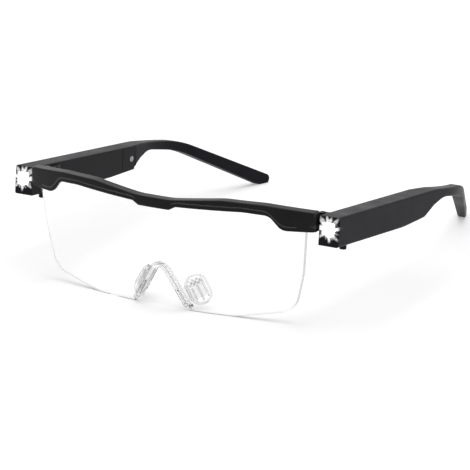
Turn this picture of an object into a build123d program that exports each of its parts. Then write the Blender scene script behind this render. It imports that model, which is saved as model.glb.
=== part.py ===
"""Lighted magnifier glasses: a wrap lens under a brow bar, with a lamp on each folding temple.

Millimetres. +Z is up, -Y is the way the wearer looks, +X is the wearer's left.
The glasses stand on the two lens feet beside the nose notch and on the two temple tips.
The left half is modelled, and the right half is its mirror image.
"""
from build123d import *
import math
import os

# Wrap of the front: one circular arc seen from above, and the lean of the lens in degrees
WRAP_BEYOND = 5.6
WRAP_SAG = 16.0
LENS_TILT = 6.5

# Brow bar, with a deep lobe at each end and a low bump over the nose
BAR_REACH = 70.4
BAR_CREST = 52.7
BAR_HEIGHT = 4.3
BAR_FRONT = 1.2
BAR_DEPTH = 5.0
BAR_CENTRE_DIP = 2.7
BAR_CENTRE_HALF = 8.0
BAR_END_DIP = 2.6
BAR_BEND_ROUND = 40.0
BAR_CORNER_ROUND = 1.4
BAR_EDGE_ROUND = 0.7
BAR_CREST_SHARES = (0.446, 0.698)
BAR_END_SHARE = 0.15
BAR_UNDER_SHARE = 0.582
BUMP_DROP = 2.9
BUMP_HALF = 7.5
BUMP_FLARE = 3.0
BUMP_SHOULDER = 1.2
LOBE_DEPTH = 11.0
LOBE_WIDTH = 18.9
LOBE_FLARE = 5.2
LOBE_SHOULDER = 0.7
LOBE_ROUND = 5.0
SEAT_WIDTH = 11.1
SEAT_BACK = 0.6
SEAT_MARGIN = 0.3
SEAT_DEPTH = 4.0

# Lens
LENS_THICKNESS = 2.0
LENS_END_COVER = 4.1
LENS_CORNER_IN = 6.7
LENS_CORNER_Z = 5.0
LENS_CORNER_ROUND = 9.0
LENS_SIDE_IN = 2.6
LENS_SIDE_SHARE = 0.4175
LENS_SIDE_ROUND = 50.0
LENS_FOOT_SHARE = 0.498
LENS_FOOT_ROUND = 60.0
LENS_TOP_COVER = 1.5
LENS_GAP = 0.06
NOTCH_HALF = 14.25
NOTCH_TOP = 19.3
NOTCH_TOP_HALF = 2.6
NOTCH_ROUND = 4.4

# Screws that hold the lens in the lobes
LENS_SCREW_IN = 13.5
LENS_SCREW_DROP = 5.7
LENS_SCREW_RADIUS = 0.8
LENS_SCREW_LENGTH = 4.0
SCREW_GAP = 0.03
SCREW_HEAD_RADIUS = 1.4
SCREW_HEAD = 0.7
SCREW_SINK = 0.5
DRIVE_WIDTH = 0.4
DRIVE_DEPTH = 0.3

# Nose saddle that grips the notch, and a soft pad on each side of it
SADDLE_WALL = 1.3
SADDLE_LIP = 0.7
SADDLE_GRIP = 1.0
SADDLE_BACK = 2.4
SADDLE_FOOT = 1.6
PAD_LENGTH = 14.0
PAD_WIDTH = 10.0
PAD_THICKNESS = 2.2
PAD_CORNER = 4.6
PAD_ROUND = 0.8
PAD_FLARE = 40.0
PAD_MIDDLE = 6.4
PAD_SETBACK = 1.2
PAD_GAP = 0.05
CARRIER_THICKNESS = 0.9
CARRIER_LENGTH = 8.6
CARRIER_WIDTH = 7.0
CARRIER_LAP = 1.0
CARRIER_CORNER = 1.5

# Temple: a hollow sloping body, then an ear arm that bends down and inwards
TEMPLE_WIDTH = 9.0
TEMPLE_FRONT = 6.5
TEMPLE_ROUND = 0.9
BODY_DROP = 4.6
BODY_SLOPE = 7.0
BODY_DEPTH = 12.7
BODY_STRAIGHT = 55.0
BODY_TAPER = 20.0
BODY_RISE = 1.55
BODY_END_ROUND = 6.0
BODY_BOTTOM_ROUND = 100.0
BODY_CORNER_ROUND = 0.5
WALL = 1.4
POCKET_MARGIN = 4.0
COVER_THICKNESS = 1.3
COVER_TAIL = 2.5
COVER_END_ROUND = 0.8
COVER_GROOVE_IN = 11.0
COVER_GROOVE = 0.35
NECK_STEP = 9.0
NECK_DEPTH = 7.1
NECK_ROUND = 12.0
ARM_STEP = 10.0
ARM_HEIGHT = 4.4
ARM_ROUND = 25.0
ARM_TOP_STEP = 2.0
ARM_TOP_ROUND = 60.0
BEND_STEP = 31.0
BEND_DROP = 17.2
BEND_LEAD = 1.5
BEND_ROUND = 55.0
TIP_LENGTH = 52.5
TIP_TOP = 3.4
TIP_ROUND = 2.4
TIP_FOOT_LENGTH = 5.5
TIP_FOOT_BACK = 1.5
TIP_FOOT_ROUND = 5.0
TIP_CORNER_ROUND = 1.0
INWARD_ANGLE = 22.8
INWARD_STEP = 24.0
INWARD_ROUND = 80.0
THIN_STEP = 18.0
THIN_WIDTH = 4.0
THIN_ROUND = 60.0
TIP_WIDTH = 3.4
ARM_EDGE_ROUND = 0.7

# Hinge between the front and each temple
HINGE_IN = 1.8
TEMPLE_STANDOFF = 2.8
HINGE_Y = 6.0
HINGE_DROP = 11.3
KNUCKLE_HEIGHT = 2.0
KNUCKLE_RADIUS = 1.7
KNUCKLE_GAP = 0.08
PIN_RADIUS = 0.7
PIN_GAP = 0.04
PIN_HEAD_RADIUS = 1.25
PIN_HEAD = 0.6
LEAF_THICKNESS = 1.0
LEAF_SCREW_RADIUS = 0.5
LEAF_HEAD_RADIUS = 0.9
LEAF_HEAD = 0.4
FRONT_LEAF_WIDTH = 7.0
FRONT_LEAF_MARGIN = 3.0
FRONT_LEAF_HEIGHT = 4.8
FRONT_SCREW_IN = 2.2
FRONT_SCREW_SPACING = 2.8
FRONT_SCREW_LENGTH = 3.4
FRONT_ARM_WIDTH = 2.0
TEMPLE_LEAF_START = 0.9
TEMPLE_LEAF_END = 12.6
TEMPLE_LEAF_TOP = 1.2
TEMPLE_LEAF_BOTTOM = 8.6
TEMPLE_ARM_START = 0.6
TEMPLE_ARM_LENGTH = 2.6
TEMPLE_SCREW_RUN = 10.6
TEMPLE_SCREW_SHARE = 0.386
TEMPLE_SPACING_SHARE = 0.362
TEMPLE_SCREW_LENGTH = 4.2
POST_RADIUS = 1.5
POST_GAP = 0.15

# Lamp in the front end of each temple
LAMP_LENGTH = 8.0
LAMP_RIM = 1.0
LAMP_HEIGHT = 7.2
LAMP_TOP = 2.0
LAMP_ROUND = 0.9
LAMP_GAP = 0.05
WINDOW_BACK = 1.1
WINDOW_PROUD = 0.5
WINDOW_ROUND = 0.4
REFLECTOR_RIM = 0.4
REFLECTOR_THROAT = 1.6
REFLECTOR_BACK = 2.4
EMITTER_SIDE = 3.0
EMITTER_BASE = 0.9
EMITTER_DOME = 1.2
LAMP_BOARD_THICKNESS = 0.8
LAMP_BOARD_MARGIN = 0.5
WIRE_PORT_WIDTH = 4.0
WIRE_PORT_HEIGHT = 5.0

# Power parts inside the temple body
BOARD_THICKNESS = 0.8
BOARD_START = 2.0
BOARD_SHARE = 0.6
BOARD_GAP = 0.2
BOARD_FLOOR_GAP = 0.6
BATTERY_GAP = 3.0
BATTERY_END_GAP = 1.0
BATTERY_ROOF_GAP = 0.3
BATTERY_FLOOR_GAP = 0.15
BATTERY_SIDE_GAP = 1.3
BATTERY_ROUND = 1.2
SWITCH_SIDE = 3.4
SWITCH_HEIGHT = 1.9
SWITCH_GAP = 0.05
SOCKET_SHARE = 0.527
SOCKET_LENGTH = 7.4
SOCKET_WIDTH = 2.6
SOCKET_DEPTH = 5.0
SOCKET_SHELL = 0.35
SOCKET_FLOOR = 1.0
SOCKET_ROUND = 0.8
SOCKET_GAP = 0.1
WIRE_RADIUS = 0.35
WIRE_SPACING = 1.6
WIRE_LAP = 3.0
WIRE_SHARE = 0.33
WIRE_GAP = 0.02
COVER_SCREW_IN = 3.1
COVER_SCREW_SHARE = 0.472
COVER_SCREW_LENGTH = 4.4

# Push button under the front end of the temple body
BUTTON_RUN = 6.8
BUTTON_RADIUS = 1.5
BUTTON_PROUD = 3.2
BUTTON_GAP = 0.06
BUTTON_FLANGE_RADIUS = 2.1
BUTTON_FLANGE = 0.6
BUTTON_STEM_RADIUS = 0.8
BUTTON_STEM = 1.4
BUTTON_TRAVEL = 0.6
BUTTON_ROUND = 0.4

# Cuts run this far past what they cut
OVERRUN = 30.0

# Widths worked out from the ones above, from the bar's reach outwards
WRAP_HALF = BAR_REACH + WRAP_BEYOND
WRAP_RADIUS = (WRAP_HALF**2 + WRAP_SAG**2) / (2 * WRAP_SAG)
WRAP_CENTRE_Y = WRAP_RADIUS - WRAP_SAG
LOBE_START = BAR_REACH - LOBE_WIDTH
LENS_HALF = BAR_REACH - LENS_END_COVER
LENS_CORNER_X = LENS_HALF - LENS_CORNER_IN
LENS_SIDE_X = LENS_HALF - LENS_SIDE_IN
LENS_FOOT_END = LENS_HALF * LENS_FOOT_SHARE
LENS_SCREW_X = BAR_REACH - LENS_SCREW_IN
FRONT_LEAF_END = BAR_REACH - FRONT_LEAF_MARGIN
FRONT_LEAF_START = FRONT_LEAF_END - FRONT_LEAF_WIDTH
FRONT_SCREW_X = FRONT_LEAF_START + FRONT_SCREW_IN
HINGE_X = BAR_REACH - HINGE_IN
TEMPLE_INNER = HINGE_X + TEMPLE_STANDOFF
TEMPLE_OUTER = TEMPLE_INNER + TEMPLE_WIDTH
COVER_INSIDE = TEMPLE_INNER + COVER_THICKNESS
POCKET_OUTER = TEMPLE_OUTER - WALL
BOARD_FACE = POCKET_OUTER - BOARD_THICKNESS
BUTTON_X = (COVER_INSIDE + BOARD_FACE) / 2
BATTERY_THICKNESS = POCKET_OUTER - COVER_INSIDE - BATTERY_SIDE_GAP
LAMP_WIDTH = TEMPLE_WIDTH - 2 * LAMP_RIM
LAMP_BOARD_WIDTH = LAMP_WIDTH - 2 * LAMP_BOARD_MARGIN
REFLECTOR_MOUTH = LAMP_WIDTH / 2 - REFLECTOR_RIM

# Heights, from the bar's crest down, and depths inside the temple body
BAR_UNDER = BAR_CREST - BAR_HEIGHT
LENS_SIDE_Z = BAR_CREST * LENS_SIDE_SHARE
LENS_SCREW_Z = BAR_CREST - LENS_SCREW_DROP
LEG_RISE = (NOTCH_HALF - NOTCH_TOP_HALF) / NOTCH_TOP
LEG_ANGLE = math.degrees(math.atan(LEG_RISE))
HINGE_BOTTOM = BAR_CREST - HINGE_DROP
MIDDLE_KNUCKLE = HINGE_BOTTOM + KNUCKLE_HEIGHT + KNUCKLE_GAP
UPPER_KNUCKLE = MIDDLE_KNUCKLE + KNUCKLE_HEIGHT + KNUCKLE_GAP
HINGE_TOP = UPPER_KNUCKLE + KNUCKLE_HEIGHT
BODY_TOP = BAR_CREST - BODY_DROP
BEND_TOP = BODY_TOP - BEND_DROP
BODY_END_DEPTH = BODY_DEPTH - BODY_RISE
BUTTON_FLOOR = BODY_DEPTH - WALL
TEMPLE_SCREW_DROP = BODY_DEPTH * TEMPLE_SCREW_SHARE
TEMPLE_SCREW_SPACING = BODY_DEPTH * TEMPLE_SPACING_SHARE
COVER_SCREW_DROP = BODY_DEPTH * COVER_SCREW_SHARE
WIRE_DROP = BODY_DEPTH * WIRE_SHARE
SWITCH_BOTTOM = BUTTON_FLOOR - BUTTON_FLANGE - BUTTON_STEM - BUTTON_TRAVEL - SWITCH_GAP
BOARD_TOP = WALL + BOARD_GAP
BOARD_HEIGHT = BUTTON_FLOOR - BOARD_FLOOR_GAP - BOARD_TOP
BATTERY_TOP = WALL + BATTERY_ROOF_GAP
BATTERY_HEIGHT = BODY_END_DEPTH - WALL - BATTERY_FLOOR_GAP - BATTERY_TOP
LAMP_BOARD_HEIGHT = LAMP_HEIGHT - 2 * LAMP_BOARD_MARGIN

# Runs along the temple, from the body's straight part back to the tip
BODY_END = BODY_STRAIGHT + BODY_TAPER
POCKET_END = BODY_END - POCKET_MARGIN
COVER_END = BODY_END + COVER_TAIL
COVER_GROOVE_RUN = COVER_END - COVER_GROOVE_IN
COVER_SCREW_RUN = COVER_END - COVER_SCREW_IN
BOARD_LENGTH = BODY_STRAIGHT * BOARD_SHARE
BATTERY_START = BOARD_START + BOARD_LENGTH + BATTERY_GAP
BATTERY_LENGTH = POCKET_END - BATTERY_END_GAP - BATTERY_START
SOCKET_RUN = BODY_STRAIGHT * SOCKET_SHARE
NECK_RUN = BODY_END + NECK_STEP
ARM_RUN = NECK_RUN + ARM_STEP
ARM_TOP_RUN = NECK_RUN + ARM_TOP_STEP
THIN_Y = ARM_RUN + THIN_STEP
INWARD_Y = ARM_RUN + INWARD_STEP
BEND_Y = ARM_RUN + BEND_STEP
TIP_END = BEND_Y + TIP_LENGTH
TIP_FOOT_END = TIP_END - TIP_FOOT_BACK
TIP_FOOT_START = TIP_FOOT_END - TIP_FOOT_LENGTH


# Shared helpers


def outline(rows):
    """A closed face from corner rows: two coordinates and the corner's radius."""
    points = [(a, b) for a, b, _ in rows]
    radii = [radius for _, _, radius in rows]
    return make_face(FilletPolyline(*points, radius=radii, close=True).edges())


def both_halves(rows):
    """The rows of one half, then their mirror images, as one closed round."""
    return rows + [(-a, b, radius) for a, b, radius in reversed(rows)]


def front_prism(face):
    """A prism through the whole front from a front-view face."""
    placed = Plane.XZ.offset(-OVERRUN) * face
    return extrude(placed, amount=WRAP_SAG + 2 * OVERRUN)


def block(x_span, y_span, z_span):
    """A box between two values on each axis."""
    (x0, x1), (y0, y1), (z0, z1) = x_span, y_span, z_span
    size = Box(x1 - x0, y1 - y0, z1 - z0, align=(Align.MIN, Align.MIN, Align.MIN))
    return Pos(x0, y0, z0) * size


def rod(start, direction, length, radius):
    """A round rod from a point along a direction."""
    base = Plane(origin=start, z_dir=direction)
    return base * Cylinder(radius, length, align=(Align.CENTER, Align.CENTER, Align.MIN))


def slotted_screw(start, direction, length, radius, head_radius, head):
    """A screw whose head sits behind the start point, with a driver slot across the head."""
    base = Plane(origin=start, z_dir=direction)
    shank = Cylinder(radius, length, align=(Align.CENTER, Align.CENTER, Align.MIN))
    top = Cylinder(head_radius, head, align=(Align.CENTER, Align.CENTER, Align.MAX))
    slot = Box(2 * head_radius, DRIVE_WIDTH, DRIVE_DEPTH, align=(Align.CENTER, Align.CENTER, Align.MIN))
    return base * (shank + top - Pos(0, 0, -head) * slot)


def mirrored(shape):
    """The same shape on the wearer's right."""
    return mirror(shape, about=Plane.YZ)


# Front


def upright_ring(outer, inner):
    """An upright ring about the wrap's axis, between two distances before the lens front."""
    tall = 2 * (BAR_CREST + OVERRUN)
    ring = Cylinder(WRAP_RADIUS + outer, tall) - Cylinder(WRAP_RADIUS + inner, tall)
    return Pos(0, WRAP_CENTRE_Y, 0) * ring


def leaning_ring(outer, inner):
    """The same ring, leaning with the lens about its line under the bar."""
    tall = 2 * (BAR_CREST + OVERRUN)
    ring = Cylinder(WRAP_RADIUS + outer, tall) - Cylinder(WRAP_RADIUS + inner, tall)
    return Pos(0, -WRAP_SAG, BAR_UNDER) * Rot(LENS_TILT, 0, 0) * Pos(0, WRAP_RADIUS, 0) * ring


def crest_rows(lowered, reach):
    """The top line of the bar, lowered by a cover for the lens, from the middle outwards."""
    first, second = BAR_CREST_SHARES
    crest = BAR_CREST - lowered
    return [
        (BAR_CENTRE_HALF, crest - BAR_CENTRE_DIP, BAR_BEND_ROUND),
        (BAR_REACH * first, crest, BAR_BEND_ROUND),
        (BAR_REACH * second, crest - BAR_END_DIP * BAR_END_SHARE, BAR_BEND_ROUND),
        (reach, crest - BAR_END_DIP, BAR_CORNER_ROUND),
    ]


def bar_face():
    """Front view of the brow bar."""
    lobe_bottom = BAR_CREST - LOBE_DEPTH
    rows = crest_rows(0, BAR_REACH) + [
        (BAR_REACH, lobe_bottom, BAR_CORNER_ROUND),
        (LOBE_START + LOBE_FLARE, lobe_bottom, LOBE_ROUND),
        (LOBE_START, BAR_UNDER - LOBE_SHOULDER, LOBE_ROUND),
        (BAR_REACH * BAR_UNDER_SHARE, BAR_UNDER, BAR_BEND_ROUND),
        (BUMP_HALF + BUMP_FLARE, BAR_UNDER - BUMP_SHOULDER, BAR_CORNER_ROUND),
        (BUMP_HALF, BAR_UNDER - BUMP_DROP, BAR_CORNER_ROUND),
    ]
    return outline(both_halves(rows))


def notch_rows(grow, bottom):
    """Half of the notch outline, grown outwards or shrunk, from a height up to its top."""
    shift = grow / math.cos(math.atan(LEG_RISE))
    top = NOTCH_TOP + grow
    return [
        (NOTCH_HALF + shift - bottom * LEG_RISE, bottom, 0),
        (NOTCH_HALF + shift - top * LEG_RISE, top, NOTCH_ROUND + grow),
    ]


def lens_solid(gap):
    """The lens with its notch and flat feet, or with a gap the space cut for it in what holds it."""
    rows = crest_rows(LENS_TOP_COVER - gap, LENS_HALF + gap) + [
        (LENS_SIDE_X + gap, LENS_SIDE_Z, LENS_SIDE_ROUND),
        (LENS_CORNER_X + gap, LENS_CORNER_Z - gap, LENS_CORNER_ROUND),
        (LENS_FOOT_END, -gap, LENS_FOOT_ROUND),
    ]
    face = outline(both_halves(rows + notch_rows(-gap, -gap)))
    return front_prism(face) & leaning_ring(gap, -LENS_THICKNESS - gap)


def lens_screw_frame():
    """Where the left lens screw's head sits behind the bar, and its way forward."""
    angle = math.asin(LENS_SCREW_X / WRAP_RADIUS)
    forward = Vector(math.sin(angle), -math.cos(angle), 0)
    centre = Vector(0, WRAP_CENTRE_Y, LENS_SCREW_Z)
    seat = centre + forward * (WRAP_RADIUS + BAR_FRONT - BAR_DEPTH + SCREW_SINK)
    return seat, forward


def lens_screw():
    """The left screw through the lobe and the lens."""
    seat, forward = lens_screw_frame()
    return slotted_screw(seat, forward, LENS_SCREW_LENGTH, LENS_SCREW_RADIUS, SCREW_HEAD_RADIUS, SCREW_HEAD)


def lens_screw_hole():
    """The bore and the sunk seat of the left lens screw."""
    seat, forward = lens_screw_frame()
    bore = rod(seat, forward, LENS_SCREW_LENGTH + SCREW_GAP, LENS_SCREW_RADIUS + SCREW_GAP)
    return bore + rod(seat, -forward, OVERRUN, SCREW_HEAD_RADIUS + SCREW_GAP)


def hinge_seat():
    """The flat-backed block in the left lobe that carries the front hinge leaf."""
    low = BAR_CREST - LOBE_DEPTH + SEAT_MARGIN
    high = BAR_CREST - BAR_END_DIP - SEAT_MARGIN
    span = (BAR_REACH - SEAT_WIDTH, BAR_REACH)
    return block(span, (SEAT_BACK - SEAT_DEPTH, SEAT_BACK), (low, high))


def brow_bar():
    """The bar with its lens groove, hinge seats and screw holes."""
    bar = front_prism(bar_face()) & upright_ring(BAR_FRONT, BAR_FRONT - BAR_DEPTH)
    curved = [edge for edge in bar.edges() if edge.geom_type != GeomType.LINE]
    bar = fillet([edge for edge in curved if edge.center().Z > BAR_UNDER + BAR_CORNER_ROUND], BAR_EDGE_ROUND)
    behind = block((-WRAP_HALF, WRAP_HALF), (SEAT_BACK, OVERRUN), (0, BAR_CREST + OVERRUN))
    bar = bar - behind + hinge_seat() + mirrored(hinge_seat()) - lens_solid(LENS_GAP)
    holes = lens_screw_hole() + front_leaf_screws(SCREW_GAP)
    return bar - holes - mirrored(holes)


def magnifier_lens():
    """The one-piece wrap lens, bored for its two screws."""
    hole = lens_screw_hole()
    return lens_solid(0) - hole - mirrored(hole)


# Nose saddle and pads


def saddle_band(grow, shrink, behind):
    """A band along the notch, from a lip before the lens to a distance behind it."""
    outside = outline(both_halves(notch_rows(grow, SADDLE_FOOT)))
    inside = outline(both_halves(notch_rows(-shrink, 0)))
    band = front_prism(outside) - front_prism(inside)
    return band & leaning_ring(SADDLE_LIP, -LENS_THICKNESS - behind)


def leg_frame():
    """The left pad's plane: its origin behind the notch's leg, its way back and its face to the nose."""
    lean = math.radians(LEG_ANGLE)
    flare = math.radians(PAD_FLARE)
    outward = Vector(math.cos(lean), 0, math.sin(lean))
    back = Vector(0, math.cos(flare), 0) + outward * math.sin(flare)
    inward = Vector(0, math.sin(flare), 0) - outward * math.cos(flare)
    x = NOTCH_HALF - PAD_MIDDLE * LEG_RISE
    lens_front = -WRAP_SAG + (BAR_UNDER - PAD_MIDDLE) * math.tan(math.radians(LENS_TILT))
    start = Vector(x, lens_front + LENS_THICKNESS + SADDLE_BACK, PAD_MIDDLE)
    return Plane(origin=start - outward * (SADDLE_WALL / 2), x_dir=back, z_dir=inward)


def carrier(gap):
    """The plate behind the left leg that carries the pad, or with a gap the slot for it."""
    length = CARRIER_LENGTH + CARRIER_LAP
    face = RectangleRounded(length + 2 * gap, CARRIER_WIDTH + 2 * gap, CARRIER_CORNER)
    plate = extrude(face, amount=CARRIER_THICKNESS / 2 + gap, both=True)
    return leg_frame() * Pos(length / 2 - CARRIER_LAP, 0, 0) * plate


def nose_saddle():
    """The clear saddle that grips the notch's edge, with its two pad carriers."""
    grip = saddle_band(SADDLE_GRIP, SADDLE_WALL, SADDLE_LIP)
    skirt = saddle_band(-LENS_GAP, SADDLE_WALL, SADDLE_BACK)
    return grip + skirt + carrier(0) + mirrored(carrier(0)) - lens_solid(LENS_GAP)


def nose_pad():
    """The left soft pad, a rounded plate sleeved on its carrier."""
    face = RectangleRounded(PAD_WIDTH, PAD_LENGTH, PAD_CORNER)
    plate = extrude(face, amount=PAD_THICKNESS / 2, both=True)
    plate = fillet(plate.faces().filter_by(Axis.Z).edges(), PAD_ROUND)
    placed = leg_frame() * Pos(PAD_SETBACK + PAD_WIDTH / 2, 0, 0) * plate
    return placed - carrier(PAD_GAP)


# Temple


def on_body(run, drop):
    """Y and Z of a point at a run along the temple's top line and a drop square to it."""
    slope = math.radians(BODY_SLOPE)
    y = TEMPLE_FRONT + run * math.cos(slope) - drop * math.sin(slope)
    z = BODY_TOP - run * math.sin(slope) - drop * math.cos(slope)
    return y, z


def body_place():
    """The temple body's own frame: Y runs back along its top line and Z stands square to it."""
    return Location((0, TEMPLE_FRONT, BODY_TOP), (-BODY_SLOPE, 0, 0))


def body_block(x_span, run_span, drop_span):
    """A box in the body's frame, its height given as drops below the top line."""
    near, far = drop_span
    return body_place() * block(x_span, run_span, (-far, -near))


def body_prism(rows, x_span):
    """A prism across the temple from corner rows of run, drop and radius."""
    face = outline([(*on_body(run, drop), radius) for run, drop, radius in rows])
    near, far = x_span
    return extrude(Plane.YZ.offset(near) * face, amount=far - near)


def temple_plan():
    """The temple from above: straight and wide, then thin and bent inwards."""
    inward = math.tan(math.radians(INWARD_ANGLE))
    end = TIP_END + OVERRUN
    outer_end = TEMPLE_OUTER - (end - INWARD_Y) * inward
    taper = (THIN_WIDTH - TIP_WIDTH) / (TIP_END - THIN_Y)
    end_width = THIN_WIDTH - taper * (end - THIN_Y)
    rows = [
        (TEMPLE_OUTER, TEMPLE_FRONT - OVERRUN, 0),
        (TEMPLE_OUTER, INWARD_Y, INWARD_ROUND),
        (outer_end, end, 0),
        (outer_end - end_width, end, 0),
        (TEMPLE_OUTER - THIN_WIDTH, THIN_Y, THIN_ROUND),
        (TEMPLE_INNER, NECK_RUN, 0),
        (TEMPLE_INNER, TEMPLE_FRONT - OVERRUN, 0),
    ]
    return extrude(outline(rows), amount=BODY_TOP + OVERRUN)


def temple_blank():
    """The temple's whole outer form before it is hollowed."""
    rows = [
        (*on_body(-LAMP_LENGTH, 0), BODY_CORNER_ROUND),
        (*on_body(ARM_TOP_RUN, 0), ARM_TOP_ROUND),
        (BEND_Y, BEND_TOP, BEND_ROUND),
        (TIP_END, TIP_TOP, TIP_ROUND),
        (TIP_FOOT_END, 0, TIP_CORNER_ROUND),
        (TIP_FOOT_START, 0, TIP_FOOT_ROUND),
        (BEND_Y - BEND_LEAD, BEND_TOP - ARM_HEIGHT, BEND_ROUND),
        (*on_body(ARM_RUN, ARM_HEIGHT), ARM_ROUND),
        (*on_body(NECK_RUN, NECK_DEPTH), NECK_ROUND),
        (*on_body(BODY_END, BODY_END_DEPTH), BODY_END_ROUND),
        (*on_body(BODY_STRAIGHT, BODY_DEPTH), BODY_BOTTOM_ROUND),
        (*on_body(-LAMP_LENGTH, BODY_DEPTH), BODY_CORNER_ROUND),
    ]
    side = extrude(Plane.YZ * outline(rows), amount=TEMPLE_OUTER + OVERRUN)
    blank = side & temple_plan()
    blank = fillet(blank.edges().group_by(Axis.X)[-1], TEMPLE_ROUND)
    arm = [edge for edge in blank.edges() if edge.center().Y > BEND_Y and edge.length > BEND_TOP]
    return fillet(min(arm, key=lambda edge: edge.center().X), ARM_EDGE_ROUND)


def temple_shell():
    """The left temple's outer shell: open on its inner side, with the lamp's bay and the screw posts."""
    blank = temple_blank()
    cover_zone = body_block(
        (TEMPLE_INNER - OVERRUN, COVER_INSIDE), (0, COVER_END), (-OVERRUN, BODY_DEPTH + OVERRUN)
    )
    pocket_rows = [
        (WALL, WALL, 0),
        (POCKET_END, WALL, 0),
        (POCKET_END, BODY_END_DEPTH - WALL, 0),
        (BODY_STRAIGHT, BODY_DEPTH - WALL, 0),
        (WALL, BODY_DEPTH - WALL, 0),
    ]
    shell = blank - cover_zone - body_prism(pocket_rows, (TEMPLE_INNER, POCKET_OUTER)) - lamp_form(0, 0, OVERRUN)
    for drop in temple_screw_drops():
        start = (COVER_INSIDE, *on_body(TEMPLE_SCREW_RUN, drop))
        shell = shell + rod(start, (1, 0, 0), POCKET_OUTER - COVER_INSIDE, POST_RADIUS)
    holes = wire_port() + button_hole() + socket_port() + temple_leaf_screws(SCREW_GAP) + cover_screw_hole()
    return shell - holes


def temple_cover():
    """The left temple's inner cover, with a moulded line across it and a square rear step."""
    rows = [
        (0, 0, BODY_CORNER_ROUND),
        (COVER_END, 0, COVER_END_ROUND),
        (COVER_END, BODY_END_DEPTH, COVER_END_ROUND),
        (BODY_STRAIGHT, BODY_DEPTH, BODY_BOTTOM_ROUND),
        (0, BODY_DEPTH, BODY_CORNER_ROUND),
    ]
    plate = body_prism(rows, (TEMPLE_INNER, COVER_INSIDE))
    groove_run = (COVER_GROOVE_RUN, COVER_GROOVE_RUN + COVER_GROOVE)
    groove_x = (TEMPLE_INNER - OVERRUN, TEMPLE_INNER + COVER_GROOVE)
    groove = body_block(groove_x, groove_run, (-OVERRUN, BODY_DEPTH + OVERRUN))
    return plate - groove - temple_leaf_screws(SCREW_GAP) - cover_screw_hole()


def temple_screw_drops():
    """The drops of the two screws that hold the temple's hinge leaf."""
    half = TEMPLE_SCREW_SPACING / 2
    return (TEMPLE_SCREW_DROP - half, TEMPLE_SCREW_DROP + half)


def temple_leaf_screws(gap):
    """The two leaf screws of the left temple, or with a gap their bores."""
    start = TEMPLE_INNER - LEAF_THICKNESS
    screws = []
    for drop in temple_screw_drops():
        head = (start, *on_body(TEMPLE_SCREW_RUN, drop))
        if gap:
            screws.append(rod(head, (1, 0, 0), TEMPLE_SCREW_LENGTH + gap, LEAF_SCREW_RADIUS + gap))
        else:
            sizes = (TEMPLE_SCREW_LENGTH, LEAF_SCREW_RADIUS, LEAF_HEAD_RADIUS, LEAF_HEAD)
            screws.append(slotted_screw(head, (1, 0, 0), *sizes))
    return screws[0] + screws[1]


def cover_screw_start():
    """Where the cover screw's head meets its sunk seat."""
    return (TEMPLE_INNER + SCREW_SINK, *on_body(COVER_SCREW_RUN, COVER_SCREW_DROP))


def cover_screw():
    """The screw behind the cover's moulded line."""
    return slotted_screw(
        cover_screw_start(), (1, 0, 0), COVER_SCREW_LENGTH, LENS_SCREW_RADIUS, SCREW_HEAD_RADIUS, SCREW_HEAD
    )


def cover_screw_hole():
    """The bore and the sunk seat of the cover screw."""
    start = cover_screw_start()
    bore = rod(start, (1, 0, 0), COVER_SCREW_LENGTH + SCREW_GAP, LENS_SCREW_RADIUS + SCREW_GAP)
    return bore + rod(start, (-1, 0, 0), OVERRUN, SCREW_HEAD_RADIUS + SCREW_GAP)


# Hinge


def knuckle(bottom):
    """One hinge knuckle, from its lower face up."""
    return rod((HINGE_X, HINGE_Y, bottom), (0, 0, 1), KNUCKLE_HEIGHT, KNUCKLE_RADIUS)


def pin_bore():
    """The bore for the hinge pin through all three knuckles."""
    start = (HINGE_X, HINGE_Y, HINGE_BOTTOM - OVERRUN)
    return rod(start, (0, 0, 1), HINGE_TOP - HINGE_BOTTOM + 2 * OVERRUN, PIN_RADIUS + PIN_GAP)


def front_screw_heights():
    """The heights of the two screws that hold the front hinge leaf."""
    middle = MIDDLE_KNUCKLE + KNUCKLE_HEIGHT / 2
    return (middle - FRONT_SCREW_SPACING / 2, middle + FRONT_SCREW_SPACING / 2)


def front_leaf_screws(gap):
    """The two leaf screws of the left lobe, or with a gap their bores."""
    screws = []
    for height in front_screw_heights():
        head = (FRONT_SCREW_X, SEAT_BACK + LEAF_THICKNESS, height)
        if gap:
            screws.append(rod(head, (0, -1, 0), FRONT_SCREW_LENGTH + gap, LEAF_SCREW_RADIUS + gap))
        else:
            sizes = (FRONT_SCREW_LENGTH, LEAF_SCREW_RADIUS, LEAF_HEAD_RADIUS, LEAF_HEAD)
            screws.append(slotted_screw(head, (0, -1, 0), *sizes))
    return screws[0] + screws[1]


def front_hinge_leaf():
    """The leaf on the left lobe, with the hinge's middle knuckle."""
    middle = MIDDLE_KNUCKLE + KNUCKLE_HEIGHT / 2
    heights = (middle - FRONT_LEAF_HEIGHT / 2, middle + FRONT_LEAF_HEIGHT / 2)
    plate = block((FRONT_LEAF_START, FRONT_LEAF_END), (SEAT_BACK, SEAT_BACK + LEAF_THICKNESS), heights)
    arm_start = HINGE_X - KNUCKLE_RADIUS
    arm_heights = (MIDDLE_KNUCKLE, MIDDLE_KNUCKLE + KNUCKLE_HEIGHT)
    arm = block((arm_start, arm_start + FRONT_ARM_WIDTH), (SEAT_BACK, HINGE_Y), arm_heights)
    return plate + arm + knuckle(MIDDLE_KNUCKLE) - pin_bore() - front_leaf_screws(SCREW_GAP)


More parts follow.
